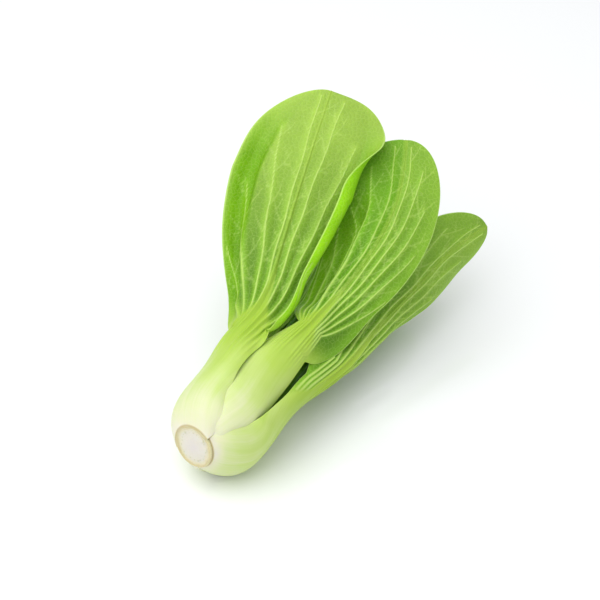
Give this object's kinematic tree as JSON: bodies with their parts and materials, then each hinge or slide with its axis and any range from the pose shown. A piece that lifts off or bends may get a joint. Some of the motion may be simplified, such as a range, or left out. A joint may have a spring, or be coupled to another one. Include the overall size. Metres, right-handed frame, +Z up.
{
  "type": "bok choy",
  "caption": "Head of bok choy lying on its side: swollen pale foot with a cut end, fleshy stalks and broad green leaves fanning out.",
  "frame": {"origin": "on the table, in the middle of the flat spot under the swollen foot", "axes": "+Y from the cut end towards the leaf tips, +Z up from the table, +X to the right seen from the cut end"},
  "size_m": [0.1018, 0.2128, 0.1226],
  "materials": {
    "leaf": "satin leaf, white-green stalk running into a green blade",
    "cut_stem": "moist cut stem, cream with a tan rim"
  },
  "bodies": {
    "root": {"stem_core": "cut_stem", "leaf_outer_upper": "leaf", "leaf_outer_right": "leaf", "leaf_outer_under": "leaf", "leaf_second_middle": "leaf", "leaf_second_under": "leaf", "leaf_second_left": "leaf", "leaf_inner_right": "leaf", "leaf_inner_under": "leaf", "leaf_inner_top": "leaf"}
  },
  "joints": []
}
